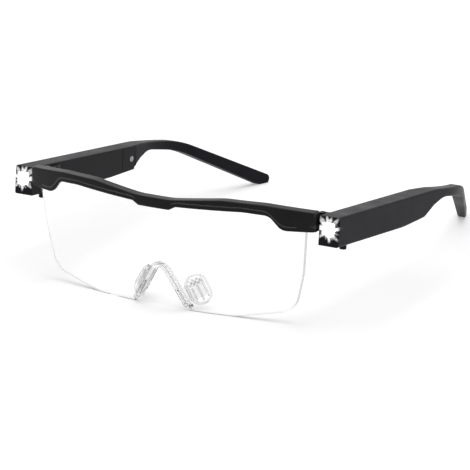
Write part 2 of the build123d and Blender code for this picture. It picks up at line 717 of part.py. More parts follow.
def temple_hinge_leaf():
    """The leaf on the left temple's inner face, with the hinge's lower and upper knuckles."""
    leaf = body_block(
        (TEMPLE_INNER - LEAF_THICKNESS, TEMPLE_INNER),
        (TEMPLE_LEAF_START, TEMPLE_LEAF_END),
        (TEMPLE_LEAF_TOP, TEMPLE_LEAF_BOTTOM),
    )
    for bottom in (HINGE_BOTTOM, UPPER_KNUCKLE):
        arm_span = (HINGE_Y + TEMPLE_ARM_START, HINGE_Y + TEMPLE_ARM_LENGTH)
        arm = block((HINGE_X, TEMPLE_INNER), arm_span, (bottom, bottom + KNUCKLE_HEIGHT))
        leaf = leaf + arm + knuckle(bottom)
    return leaf - pin_bore() - temple_leaf_screws(SCREW_GAP)


def hinge_pin():
    """The headed pin that the knuckles turn on."""
    shank = rod((HINGE_X, HINGE_Y, HINGE_BOTTOM), (0, 0, 1), HINGE_TOP - HINGE_BOTTOM, PIN_RADIUS)
    head = rod((HINGE_X, HINGE_Y, HINGE_TOP), (0, 0, 1), PIN_HEAD, PIN_HEAD_RADIUS)
    slot = block(
        (HINGE_X - PIN_HEAD_RADIUS, HINGE_X + PIN_HEAD_RADIUS),
        (HINGE_Y - DRIVE_WIDTH / 2, HINGE_Y + DRIVE_WIDTH / 2),
        (HINGE_TOP + PIN_HEAD - DRIVE_DEPTH, HINGE_TOP + OVERRUN),
    )
    return shank + head - slot


# Lamp


def lamp_place():
    """The lamp's frame: origin at the middle of its back, Z forward along the temple, Y up."""
    centre = (TEMPLE_OUTER - TEMPLE_WIDTH / 2, 0, -LAMP_TOP - LAMP_HEIGHT / 2)
    return body_place() * Location(centre, (90, 0, 0))


def lamp_box(width, height, start, end):
    """A box about the lamp's axis between two distances before its back."""
    size = Box(width, height, end - start, align=(Align.CENTER, Align.CENTER, Align.MIN))
    return Pos(0, 0, start) * size


def lamp_form(gap, start, end):
    """The lamp's rounded form with a gap all round, between two distances before its back."""
    form = lamp_box(LAMP_WIDTH - 2 * gap, LAMP_HEIGHT - 2 * gap, start, end)
    return lamp_place() * fillet(form.edges().filter_by(Axis.Z), LAMP_ROUND)


def lamp_window():
    """The clear window in the bay's mouth, standing a little proud with a rounded rim."""
    plate = lamp_box(
        LAMP_WIDTH - 2 * LAMP_GAP, LAMP_HEIGHT - 2 * LAMP_GAP, LAMP_LENGTH - WINDOW_BACK, LAMP_LENGTH + WINDOW_PROUD
    )
    plate = fillet(plate.edges().filter_by(Axis.Z), LAMP_ROUND)
    return lamp_place() * fillet(plate.faces().sort_by(Axis.Z)[-1].edges(), WINDOW_ROUND)


def lamp_reflector():
    """The bright block behind the window, with a conical bowl and a seat for the emitter."""
    front = LAMP_LENGTH - WINDOW_BACK - LAMP_GAP
    bowl = Cone(
        REFLECTOR_THROAT, REFLECTOR_MOUTH, front - REFLECTOR_BACK, align=(Align.CENTER, Align.CENTER, Align.MIN)
    )
    seat = 2 * LAMP_GAP
    recess = lamp_box(LAMP_BOARD_WIDTH + seat, LAMP_BOARD_HEIGHT + seat, -OVERRUN, LAMP_BOARD_THICKNESS + LAMP_GAP)
    square = lamp_box(EMITTER_SIDE + seat, EMITTER_SIDE + seat, 0, LAMP_BOARD_THICKNESS + EMITTER_BASE + LAMP_GAP)
    throat = Cylinder(REFLECTOR_THROAT, REFLECTOR_BACK, align=(Align.CENTER, Align.CENTER, Align.MIN))
    cuts = Pos(0, 0, REFLECTOR_BACK) * bowl + recess + square + throat
    return lamp_form(LAMP_GAP, 0, front) - lamp_place() * cuts


def lamp_emitter():
    """The light emitter: a square base with a domed top."""
    base = lamp_box(EMITTER_SIDE, EMITTER_SIDE, LAMP_BOARD_THICKNESS, LAMP_BOARD_THICKNESS + EMITTER_BASE)
    dome = Pos(0, 0, LAMP_BOARD_THICKNESS + EMITTER_BASE) * Sphere(EMITTER_DOME)
    keep = lamp_box(EMITTER_SIDE, EMITTER_SIDE, LAMP_BOARD_THICKNESS, LAMP_LENGTH)
    return lamp_place() * (base + (dome & keep))


def lamp_board():
    """The small board behind the emitter."""
    return lamp_place() * lamp_box(LAMP_BOARD_WIDTH, LAMP_BOARD_HEIGHT, 0, LAMP_BOARD_THICKNESS)


# Power parts


def wire_port():
    """The opening in the body's front wall for the lamp's wires."""
    middle = WIRE_DROP + WIRE_SPACING / 2
    drops = (middle - WIRE_PORT_HEIGHT / 2, middle + WIRE_PORT_HEIGHT / 2)
    return body_block((POCKET_OUTER - WIRE_PORT_WIDTH, POCKET_OUTER), (-WALL, 2 * WALL), drops)


def wire_pair(run_span):
    """Two wires along the face of the circuit board."""
    start, end = run_span
    x = BOARD_FACE - WIRE_RADIUS - WIRE_GAP
    wires = []
    for drop in (WIRE_DROP, WIRE_DROP + WIRE_SPACING):
        wire = Pos(x, start, -drop) * Rot(-90, 0, 0)
        wires.append(wire * Cylinder(WIRE_RADIUS, end - start, align=(Align.CENTER, Align.CENTER, Align.MIN)))
    return body_place() * (wires[0] + wires[1])


def lamp_wires():
    """The wires from the lamp's board to the circuit board."""
    return wire_pair((0, BOARD_START + WIRE_LAP))


def battery_wires():
    """The wires from the circuit board to the battery."""
    return wire_pair((BOARD_START + BOARD_LENGTH - WIRE_LAP, BATTERY_START))


def circuit_board():
    """The board on the outer wall, with holes that clear the screw posts."""
    run_span = (BOARD_START, BOARD_START + BOARD_LENGTH)
    board = body_block((BOARD_FACE, POCKET_OUTER), run_span, (BOARD_TOP, BOARD_TOP + BOARD_HEIGHT))
    for drop in temple_screw_drops():
        centre = (COVER_INSIDE, *on_body(TEMPLE_SCREW_RUN, drop))
        board = board - rod(centre, (1, 0, 0), OVERRUN, POST_RADIUS + POST_GAP)
    return board


def battery_cell():
    """The flat cell against the outer wall."""
    cell = block(
        (POCKET_OUTER - BATTERY_THICKNESS, POCKET_OUTER),
        (BATTERY_START, BATTERY_START + BATTERY_LENGTH),
        (-BATTERY_TOP - BATTERY_HEIGHT, -BATTERY_TOP),
    )
    return body_place() * fillet(cell.edges().filter_by(Axis.Y), BATTERY_ROUND)


def button_switch():
    """The switch on the circuit board, above the button's stem."""
    half = SWITCH_SIDE / 2
    return body_block(
        (BUTTON_X - half, BOARD_FACE),
        (BUTTON_RUN - half, BUTTON_RUN + half),
        (SWITCH_BOTTOM - SWITCH_HEIGHT, SWITCH_BOTTOM),
    )


def socket_body(gap):
    """The charging socket's outer form, opening down through the body's floor."""
    width = SOCKET_WIDTH + 2 * gap
    length = SOCKET_LENGTH + 2 * gap
    face = RectangleRounded(width, length, SOCKET_ROUND)
    upright = extrude(face, amount=SOCKET_DEPTH)
    x = BOARD_FACE - SOCKET_WIDTH / 2
    return body_place() * Pos(x, SOCKET_RUN, -BODY_DEPTH) * upright


def charging_socket():
    """The socket's metal shell, closed above, with its mouth in the body's floor."""
    inner = RectangleRounded(SOCKET_WIDTH - 2 * SOCKET_SHELL, SOCKET_LENGTH - 2 * SOCKET_SHELL, SOCKET_SHELL)
    hollow = extrude(inner, amount=SOCKET_DEPTH - SOCKET_FLOOR)
    x = BOARD_FACE - SOCKET_WIDTH / 2
    return socket_body(0) - body_place() * Pos(x, SOCKET_RUN, -BODY_DEPTH) * hollow


def socket_port():
    """The hole in the body's floor for the charging socket."""
    return socket_body(SOCKET_GAP)


# Button


def button_place():
    """The button's frame: on its axis at the body's inner floor, Z up the body."""
    return body_place() * Pos(BUTTON_X, BUTTON_RUN, -BUTTON_FLOOR)


def push_button():
    """The left button: a cap through the floor, a flange above it and a stem to the switch."""
    cap = Cylinder(BUTTON_RADIUS, WALL + BUTTON_PROUD, align=(Align.CENTER, Align.CENTER, Align.MAX))
    cap = fillet(cap.edges().sort_by(Axis.Z)[0], BUTTON_ROUND)
    flange = Cylinder(BUTTON_FLANGE_RADIUS, BUTTON_FLANGE, align=(Align.CENTER, Align.CENTER, Align.MIN))
    stem = Cylinder(BUTTON_STEM_RADIUS, BUTTON_STEM + BUTTON_FLANGE, align=(Align.CENTER, Align.CENTER, Align.MIN))
    return button_place() * (cap + flange + stem)


def button_hole():
    """The hole in the body's floor that the button's cap slides in."""
    return button_place() * Cylinder(BUTTON_RADIUS + BUTTON_GAP, 2 * (WALL + BUTTON_PROUD))


# Assembly


SIDE_PIECES = {
    "nose_pad": nose_pad,
    "front_hinge_leaf": front_hinge_leaf,
    "temple_shell": temple_shell,
    "temple_cover": temple_cover,
    "cover_screw": cover_screw,
    "temple_hinge_leaf": temple_hinge_leaf,
    "temple_leaf_screws": lambda: temple_leaf_screws(0),
    "hinge_pin": hinge_pin,
    "lamp_window": lamp_window,
    "lamp_reflector": lamp_reflector,
    "lamp_emitter": lamp_emitter,
    "lamp_board": lamp_board,
    "lamp_wires": lamp_wires,
    "circuit_board": circuit_board,
    "battery_wires": battery_wires,
    "battery_cell": battery_cell,
    "button_switch": button_switch,
    "charging_socket": charging_socket,
    "push_button": push_button,
}


def pair(shape):
    """A left shape and its mirror image as separate solids of one node."""
    return Compound(shape.solids() + mirrored(shape).solids())


def build():
    """Every node by name, before the whole is centred front to back."""
    nodes = {
        "brow_bar": brow_bar(),
        "magnifier_lens": magnifier_lens(),
        "nose_saddle": nose_saddle(),
        "lens_screws": pair(lens_screw()),
        "front_leaf_screws": pair(front_leaf_screws(0)),
    }
    for name, make in SIDE_PIECES.items():
        shape = make()
        nodes[f"left_{name}"] = shape
        nodes[f"right_{name}"] = mirrored(shape)
    return nodes


def main():
    """Centre the glasses front to back over the origin and write each node."""
    nodes = build()
    whole = Compound([solid for shape in nodes.values() for solid in shape.solids()])
    box = whole.bounding_box()
    shift = Pos(0, -box.center().Y, 0)
    os.makedirs("parts", exist_ok=True)
    for name, shape in nodes.items():
        solids = (shift * Compound(shape.solids())).solids()
        placed = solids[0] if len(solids) == 1 else Compound(solids)
        export_step(placed, f"parts/{name}.step")
    pin = shift * Pos(HINGE_X, HINGE_Y, HINGE_BOTTOM)
    button = shift * button_place()
    print("moved along Y by", round(-box.center().Y, 4))
    print("size", [round(value, 3) for value in box.size], "lowest", round(box.min.Z, 4))
    print("left hinge axis at", pin.position)
    print("left button axis at", button.position, "slope", BODY_SLOPE)


main()
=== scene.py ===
"""Lighted magnifier glasses, open, standing on a pale floor."""
import math

import bmesh
import bpy
from mathutils import Matrix, Vector
from mathutils.bvhtree import BVHTree


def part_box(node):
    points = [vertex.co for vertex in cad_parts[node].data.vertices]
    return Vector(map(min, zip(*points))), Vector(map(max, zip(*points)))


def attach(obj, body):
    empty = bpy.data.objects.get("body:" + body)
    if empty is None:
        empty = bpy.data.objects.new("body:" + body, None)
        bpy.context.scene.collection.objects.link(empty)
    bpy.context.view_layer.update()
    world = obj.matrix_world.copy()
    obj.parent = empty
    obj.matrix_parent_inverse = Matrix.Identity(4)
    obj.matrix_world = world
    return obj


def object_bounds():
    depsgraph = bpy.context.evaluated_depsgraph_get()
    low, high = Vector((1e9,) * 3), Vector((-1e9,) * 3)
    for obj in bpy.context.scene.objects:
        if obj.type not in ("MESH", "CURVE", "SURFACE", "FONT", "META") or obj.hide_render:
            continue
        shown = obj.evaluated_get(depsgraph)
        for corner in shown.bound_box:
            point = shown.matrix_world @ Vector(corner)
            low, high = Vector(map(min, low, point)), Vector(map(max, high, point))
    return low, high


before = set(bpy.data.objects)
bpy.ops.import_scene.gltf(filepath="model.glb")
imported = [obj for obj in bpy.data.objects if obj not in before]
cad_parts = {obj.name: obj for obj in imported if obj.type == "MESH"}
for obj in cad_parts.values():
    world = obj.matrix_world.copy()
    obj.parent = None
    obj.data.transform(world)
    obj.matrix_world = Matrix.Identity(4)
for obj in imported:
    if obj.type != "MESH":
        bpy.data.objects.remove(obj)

CAD_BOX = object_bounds()
MM = 0.001
SIDES = {"left": 1, "right": -1}
AHEAD = Vector((0, 1, 0))

# Camera: the point it looks at, its turn and height round it, and its lens in pixels of the frame
TARGET = Vector((-0.0020, -0.02409, 0.01337))
AZIMUTH = math.radians(29.935)
ELEVATION = math.radians(17.488)
DISTANCE = 1.16675
FOCAL_PIXELS = 2608.1
FRAME_PIXELS = 470
SENSOR = 36.0
CLIP_START = 0.05

# Wrap of the lens: a leaning upright cylinder, as the lens's front face has it
WRAP_RADIUS = 188.5 * MM
WRAP_PIVOT = Vector((0.0, -95.799, 48.4)) * MM
LENS_TILT = math.radians(6.5)
WRAP_AXIS = Vector((0.0, -math.sin(LENS_TILT), math.cos(LENS_TILT)))
WRAP_CENTRE = WRAP_PIVOT + Vector((0.0, math.cos(LENS_TILT), math.sin(LENS_TILT))) * WRAP_RADIUS

# The lens magnifies: its faces lean out by this much more than the wrap, per metre from its middle
LENS_MIDDLE = Vector((0.0, -90.0, 27.0)) * MM
LENS_BULGE = 2.6
LENS_SOFT_RIM = 2.2 * MM
# The soft rim and the sawn rim, by how far a face turns from its neighbour and from the wrap
LENS_SOFT_FLAT, LENS_SOFT_SHARP = 0.999, 0.75
LENS_WRAP_FACING, LENS_RIM_FACING = 0.9, 0.6

# Bead along the bar's front: its height over the bar's lower edge, and its stations from the nose
BEAD_RISE = 1.9 * MM
BEAD_RADIUS = 0.3 * MM
BEAD_TIP_RADIUS = 0.05 * MM
BEAD_SUNK = 0.06 * MM
BEAD_START = 7.0 * MM
BEAD_STEP = 1.15 * MM
BEAD_STATIONS = 51
# The bar's lower edge is looked for upwards from here, with rays that start well before the glasses
BEAD_SCAN_LOW = 30.0 * MM
BEAD_SCAN_STEP = 0.25 * MM
BEAD_SCAN_STEPS = 92
BEAD_SCAN_FROM = -200.0 * MM
BEAD_SCAN_REACH = 130.0 * MM
BEAD_BACK_OFF = 20.0 * MM
BEAD_REACH = 50.0 * MM

# Nose pads: the lean of the notch's leg, the pad's flare behind it, and the pad's size
NOTCH_HALF = 14.25
NOTCH_TOP_HALF = 2.6
NOTCH_TOP = 19.3
LEG_LEAN = math.atan((NOTCH_HALF - NOTCH_TOP_HALF) / NOTCH_TOP)
PAD_FLARE = math.radians(40.0)
PAD_REACH = 10.0 * MM
PAD_TALL = 14.0 * MM
PAD_THICK = 2.2 * MM
PAD_CORNER = 4.6 * MM
PAD_CORNER_POINTS = 10

# Ribs of a nose pad, as shares of half its reach and height, with radii in millimetres
RIB_SUNK = 0.05 * MM
EDGE_RIB_INSET = 0.95 * MM
EDGE_RIB_RADIUS = 0.26 * MM
RIB_LINES = ((-0.52, -0.62, 0.2), (0.0, -0.74, 0.3), (0.52, -0.62, 0.55))
RIB_SHARES = (0.0, 0.08, 0.5, 0.92, 1.0)
RIB_RADII = (0.06, 0.3, 0.34, 0.3, 0.06)
LATTICE_HEIGHT = 0.5
LATTICE_STEP = 0.34
LATTICE_HALF = 2.1
LATTICE_SHORTER = 0.4
LATTICE_SHARES = (-1.0, -0.85, 0.0, 0.85, 1.0)
LATTICE_RADII = (0.05, 0.2, 0.22, 0.2, 0.05)

# Left lamp: the middle of its back, its depth, and its way forward along the sloping temple
BODY_SLOPE = math.radians(7.0)
LAMP_FORWARD = Vector((0.0, -math.cos(BODY_SLOPE), math.sin(BODY_SLOPE)))
LAMP_UP = Vector((0.0, math.sin(BODY_SLOPE), math.cos(BODY_SLOPE)))
LAMP_OUT = Vector((1.0, 0.0, 0.0))
LAMP_BACK = Vector((75.9, -73.9816, 42.542)) * MM
LAMP_DEPTH = 8.0 * MM
LAMP_FACE = LAMP_BACK + LAMP_FORWARD * LAMP_DEPTH

# The lamp's painted glow: its bright middle, how soft and uneven that is, and how it fades outwards
LAMP_CORE = 2.9 * MM
LAMP_UNEVEN = (0.85, 1.2)
LAMP_SOFT = 0.9 * MM
LAMP_DIM_AT = 2.2
LAMP_DIM = 0.2
LAMP_FADE = 1.6 * MM
# Faces that look this far along the lamp's way get all the painted glow, and those that don't keep a little
LAMP_FACING = 0.6
LAMP_LEAST = 0.1
# The lamp's window is clear this far out, and further by this share of a painted ray's reach
LAMP_CLEAR = 1.65 * MM
LAMP_CLEAR_SOFT = 0.5 * MM
LAMP_CUSPS = 0.25
WINDOW_FULL = 0.7
# Painted glare rays of the lamp: the turn in degrees, the length in millimetres, and how narrow the ray is
PAINTED_GLARE_RAYS = (
    (-18, 1.2, 160), (12, 5.0, 90), (33, 1.2, 200), (52, 4.2, 60),
    (82, 2.6, 60), (104, 3.6, 90), (122, 1.2, 200), (136, 6.0, 60),
    (160, 1.4, 200), (176, 5.0, 60), (202, 1.0, 160), (220, 3.0, 70),
    (-108, 1.0, 160), (-85, 2.6, 60), (-64, 1.2, 160), (-44, 3.2, 70),
)

# Left charging socket: the middle of its mouth, its way out, and the tongue inside it
SOCKET_MOUTH = Vector((76.9, -46.08, 31.96)) * MM
SOCKET_OUT = Vector((0.0, -math.sin(BODY_SLOPE), -math.cos(BODY_SLOPE)))
TONGUE_SIZE = Vector((0.7, 4.4, 2.6)) * MM
TONGUE_BEVEL = 0.12 * MM
TONGUE_DEPTH = 2.6 * MM

# Floor: it glows more between these distances, where the overhead lamp's light fades
FLOOR_SIZE = 6.0
FLOOR_NEAR = 0.3
FLOOR_FAR = 1.1
FLOOR_GLOW_NEAR = 0.34
FLOOR_GLOW_FAR = 0.75
FLOOR_DARK, FLOOR_PALE = 0.80, 0.82

# Light: the world's level on the object, and one lamp overhead
WORLD_LEVEL = 0.55
OVERHEAD_PLACE = Vector((0.0, 0.1, 1.1))
OVERHEAD_WIDTH = 1.2
OVERHEAD_POWER = 7.0

# Noises: scale per metre, detail and roughness, read between the values where most of them lies
NOISE_LOW, NOISE_HIGH = 0.3, 0.7
MOTTLE = (90.0, 4.0, 0.6)
WEAR = (400.0, 3.0, 0.6)
FROST = (700.0, 4.0, 0.6)
WINDOW_HAZE = (500.0, 3.0, 0.5)
GLOW_GRAIN = (1200.0, 3.0, 0.5)
LAMP_NOISE = (900.0, 3.0, 0.6)
FLOOR_NOISE = (3.0, 2.0, 0.5)
GRAIN_DETAIL = (5.0, 0.65)
LINES_DETAIL = (4.0, 0.6)
HAZE_DETAIL = (3.0, 0.5)

# Wear on moulded edges: where its patches lie, its least share, and how much paler it is
WEAR_LOW, WEAR_HIGH = 0.35, 0.65
WEAR_LEAST = 0.3
WEAR_GAIN, WEAR_LIFT = 2.0, 0.03

# Edges, by how far a rounded normal turns from the flat one
BEVEL_SAMPLES = 6
EDGE_FLAT, EDGE_SHARP = 0.995, 0.8

GRAIN_BUMP = 0.35
FINE_BUMP = 0.2
LINES_DEPTH = 0.02 * MM
ACRYLIC_IOR = 1.49
FROST_LEAST = 0.8

# Shadow of a clear moulding: its tint changes from facing to grazing light between these stops
SHADOW_BLEND = 0.35
SHADOW_FACING, SHADOW_GRAZING = 0.1, 0.9

# Warmth of a lit surface changes between these values of its noise
GLOW_WARM, GLOW_WHITE = 0.25, 0.6


def node(name):
    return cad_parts[name]


def grey(value):
    return (value, value, value)


WHITE = grey(1.0)


# ---------------------------------------------------------------- node trees

class Tree:
    """A material's or world's node tree, with short calls that add and link nodes."""

    def __init__(self, owner):
        owner.use_nodes = True
        self.tree = owner.node_tree
        self.tree.nodes.clear()

    def add(self, kind, **values):
        made = self.tree.nodes.new(kind)
        for key, value in values.items():
            setattr(made, key, value)
        return made

    def link(self, source, target):
        self.tree.links.new(source, target)

    def put(self, value, slot):
        """Set a number or colour on a socket, or link a node's output to it."""
        if isinstance(value, (int, float)):
            slot.default_value = value
        elif isinstance(value, (tuple, Vector)):
            size = len(slot.default_value)
            slot.default_value = tuple(value) + (1.0,) * (size - len(value))
        else:
            self.link(value, slot)

    def coords(self, kind="Object"):
        return self.add("ShaderNodeTexCoord").outputs[kind]

    def mapping(self, source, scale):
        made = self.add("ShaderNodeMapping")
        made.inputs["Scale"].default_value = scale
        self.link(source, made.inputs["Vector"])
        return made.outputs["Vector"]

    def noise(self, source, scale, detail, rough):
        made = self.add("ShaderNodeTexNoise")
        for key, value in (("Scale", scale), ("Detail", detail), ("Roughness", rough)):
            made.inputs[key].default_value = value
        self.link(source, made.inputs["Vector"])
        return made.outputs["Fac"]

    def ramp(self, source, first, second):
        """A colour between two stops, each a place and its colour."""
        made = self.add("ShaderNodeValToRGB")
        for item, (place, colour) in zip(made.color_ramp.elements, (first, second)):
            item.position = place
            item.color = tuple(colour) + (1.0,)
        self.link(source, made.inputs["Fac"])
        return made.outputs["Color"]

    def levels(self, source, low, high, to_low=0.0, to_high=1.0):
        made = self.add("ShaderNodeMapRange")
        ends = zip(("From Min", "From Max", "To Min", "To Max"), (low, high, to_low, to_high))
        for key, value in ends:
            made.inputs[key].default_value = value
        self.link(source, made.inputs["Value"])
        return made.outputs["Result"]

    def shades(self, noise, dark, pale):
        return self.ramp(noise, (NOISE_LOW, dark), (NOISE_HIGH, pale))

    def spread(self, noise, low, high):
        return self.levels(noise, NOISE_LOW, NOISE_HIGH, low, high)

    def math(self, operation, *values):
        made = self.add("ShaderNodeMath", operation=operation)
        for value, slot in zip(values, made.inputs):
            self.put(value, slot)
        return made.outputs["Value"]

    def vector(self, operation, *values, scale=None):
        made = self.add("ShaderNodeVectorMath", operation=operation)
        for value, slot in zip(values, made.inputs):
            self.put(value, slot)
        if scale is not None:
            self.put(scale, made.inputs["Scale"])
        return made.outputs["Value" if operation in ("DOT_PRODUCT", "LENGTH") else "Vector"]

    def mix(self, share, first, second):
        """A colour between two; a Mix node has its colours in inputs 6 and 7 and in output 2."""
        made = self.add("ShaderNodeMix", data_type="RGBA")
        for value, slot in ((share, 0), (first, 6), (second, 7)):
            self.put(value, made.inputs[slot])
        return made.outputs[2]

    def bump(self, height, strength, distance, under=None):
        made = self.add("ShaderNodeBump")
        made.inputs["Strength"].default_value = strength
        made.inputs["Distance"].default_value = distance
        self.link(height, made.inputs["Height"])
        if under is not None:
            self.link(under, made.inputs["Normal"])
        return made.outputs["Normal"]

    def edges(self, radius, flat_level=EDGE_FLAT, sharp_level=EDGE_SHARP):
        """Near 1 on edges of about this radius, and a normal that rounds them."""
        bevel = self.add("ShaderNodeBevel", samples=BEVEL_SAMPLES)
        bevel.inputs["Radius"].default_value = radius
        flat = self.add("ShaderNodeNewGeometry").outputs["Normal"]
        same = self.vector("DOT_PRODUCT", bevel.outputs["Normal"], flat)
        return self.levels(same, flat_level, sharp_level), bevel.outputs["Normal"]

    def principled(self, colour, roughness, normal=None, **fixed):
        made = self.add("ShaderNodeBsdfPrincipled")
        self.put(colour, made.inputs["Base Color"])
        self.put(roughness, made.inputs["Roughness"])
        if normal is not None:
            self.link(normal, made.inputs["Normal"])
        for key, value in fixed.items():
            self.put(value, made.inputs[key.replace("_", " ")])
        return made.outputs[0]

    def shader(self, kind, **values):
        """A simple shader with these sockets set or linked."""
        made = self.add(kind)
        for key, value in values.items():
            self.put(value, made.inputs[key])
        return made.outputs[0]

    def blend(self, share, first, second):
        made = self.add("ShaderNodeMixShader")
        for value, slot in zip((share, first, second), made.inputs):
            self.put(value, slot)
        return made.outputs[0]

    def both(self, first, second):
        made = self.add("ShaderNodeAddShader")
        self.link(first, made.inputs[0])
        self.link(second, made.inputs[1])
        return made.outputs[0]

    def seen(self, level):
        """The level for rays from the camera, mirrors and glass, and nothing for the rest."""
        path = self.add("ShaderNodeLightPath").outputs
        direct = self.math("MAXIMUM", path["Is Camera Ray"], path["Is Glossy Ray"])
        return self.math("MULTIPLY", self.math("MAXIMUM", direct, path["Is Transmission Ray"]), level)

    def unseen(self):
        """1 for the rays that only carry light on to what is dull."""
        path = self.add("ShaderNodeLightPath").outputs
        return self.math("MAXIMUM", path["Is Shadow Ray"], path["Is Diffuse Ray"])

    def output(self, shader, kind="ShaderNodeOutputMaterial"):
        self.link(shader, self.add(kind).inputs["Surface"])


# ---------------------------------------------------------------- materials

def material(name):
    made = bpy.data.materials.new(name)
    return made, Tree(made)


def moulded(name, dark, pale, rough, grain, depth, edge=0.0, specular=0.5, rounding=0.2, painted_spill=0.0):
    """Moulded plastic or rubber: mottling, fine grain, paler worn edges, and a painted glow of the lamps'
    light and glare near them.

    The grain's depth and the edges' rounding are in millimetres.
    """
    made, t = material(name)
    where = t.coords()
    mottle = t.noise(where, *MOTTLE)
    colour = t.shades(mottle, dark, pale)
    sharp, rounded = t.edges(rounding * MM)
    if edge:
        patches = t.levels(t.noise(where, *WEAR), WEAR_LOW, WEAR_HIGH, WEAR_LEAST * edge, edge)
        worn = tuple(c * WEAR_GAIN + WEAR_LIFT for c in pale)
        colour = t.mix(t.math("MULTIPLY", sharp, patches), colour, worn)
    normal = t.bump(t.noise(where, grain, *GRAIN_DETAIL), GRAIN_BUMP, depth * MM, rounded)
    fixed = {"Specular_IOR_Level": specular}
    # painted light: the lamp's glow and glare rays, painted as emission on the plastic near the lamp
    if painted_spill:
        light, _ = lamp_light(t, where)
        fixed.update(Emission_Color=WHITE, Emission_Strength=t.math("MULTIPLY", light, painted_spill))
    t.output(t.principled(colour, t.spread(mottle, *rough), normal, **fixed))
    return made


def metal(name, dark, pale, rough, stretch, scale=900.0):
    """Steel, nickel or chrome with fine drawn lines."""
    made, t = material(name)
    lines = t.noise(t.mapping(t.coords(), stretch), scale, *LINES_DETAIL)
    normal = t.bump(lines, FINE_BUMP, LINES_DEPTH)
    t.output(t.principled(t.shades(lines, dark, pale), t.spread(lines, *rough), normal, Metallic=1.0))
    return made


def hazy_glass(t, haze, tints, rough, ior, depth, under=None):
    normal = t.bump(haze, FINE_BUMP, depth * MM, under)
    colour, roughness = t.shades(haze, *tints), t.spread(haze, *rough)
    return t.principled(colour, roughness, normal, IOR=ior, Transmission_Weight=1.0)


def frosted(t, where, dark, pale):
    colour = t.shades(t.noise(where, *FROST), dark, pale)
    return t.shader("ShaderNodeBsdfDiffuse", Color=colour)


def with_light_shadow(t, body, shade):
    """The body as it is seen, but only a tint for the rays that carry light on to what is dull."""
    through = t.shader("ShaderNodeBsdfTransparent", Color=shade)
    t.output(t.blend(t.unseen(), body, through))


def clear(name, tints, rough, ior, shadows, frost, share, grain, depth):
    """Clear moulding: refracts, is a little frosted, and casts only a light shadow."""
    made, t = material(name)
    where = t.coords()
    haze = t.noise(where, grain, *HAZE_DETAIL)
    glass = hazy_glass(t, haze, tints, rough, ior, depth)
    body = t.blend(t.spread(haze, FROST_LEAST * share, share), glass, frosted(t, where, *frost))
    weight = t.add("ShaderNodeLayerWeight")
    weight.inputs["Blend"].default_value = SHADOW_BLEND
    facing, grazing = (SHADOW_FACING, shadows[0]), (SHADOW_GRAZING, shadows[1])
    with_light_shadow(t, body, t.ramp(weight.outputs["Facing"], facing, grazing))
    return made


def clear_lens(name, tints, rough, ior, shadows, frost, rim_share, edge_share, grain, depth, straight):
    """The lens: a clear sheet that bulges, with a frosted sawn rim and soft edges."""
    made, t = material(name)
    where = t.coords()
    haze = t.noise(where, grain, *HAZE_DETAIL)
    rim = lens_rim(t)
    soft, _ = t.edges(LENS_SOFT_RIM, LENS_SOFT_FLAT, LENS_SOFT_SHARP)
    tilted = bulged(t, t.math("MAXIMUM", rim, soft))
    glass = hazy_glass(t, haze, tints, rough, ior, depth, tilted)
    dull = frosted(t, where, *frost)
    sawn = t.blend(rim_share, t.shader("ShaderNodeBsdfTransparent", Color=straight), dull)
    faces = t.blend(t.math("MULTIPLY", soft, edge_share), glass, dull)
    with_light_shadow(t, t.blend(rim, faces, sawn), t.mix(rim, *shadows))
    return made


def bulged(t, edge):
    """The lens's normal with the bulge of a magnifier added to both faces, but not near the rim."""
    shape = t.add("ShaderNodeNewGeometry").outputs
    out = t.vector("SUBTRACT", t.coords(), LENS_MIDDLE)
    sunk = t.vector("SCALE", shape["Normal"], scale=t.vector("DOT_PRODUCT", out, shape["Normal"]))
    along = t.vector("SUBTRACT", out, sunk)
    side = t.levels(shape["Backfacing"], 0.0, 1.0, LENS_BULGE, -LENS_BULGE)
    lean = t.vector("SCALE", along, scale=t.math("MULTIPLY", side, t.math("SUBTRACT", 1.0, edge)))
    return t.vector("NORMALIZE", t.vector("ADD", shape["Normal"], lean))


def lens_rim(t):
    """1 on the lens's sawn edge all round, and 0 on its polished front and back."""
    from_centre = t.vector("SUBTRACT", t.coords(), WRAP_CENTRE)
    raised = t.vector("SCALE", WRAP_AXIS, scale=t.vector("DOT_PRODUCT", from_centre, WRAP_AXIS))
    radial = t.vector("NORMALIZE", t.vector("SUBTRACT", from_centre, raised))
    facing = t.math("ABSOLUTE", t.vector("DOT_PRODUCT", radial, t.coords("Normal")))
    return t.levels(facing, LENS_WRAP_FACING, LENS_RIM_FACING)


def glowing(name, core, rim, strength, rough):
    """A lit surface, warmer and dimmer in fine patches."""
    made, t = material(name)
    colour = t.ramp(t.noise(t.coords(), *GLOW_GRAIN), (GLOW_WARM, rim), (GLOW_WHITE, core))
    t.output(t.principled(colour, rough, Emission_Strength=strength, Emission_Color=colour))
    return made


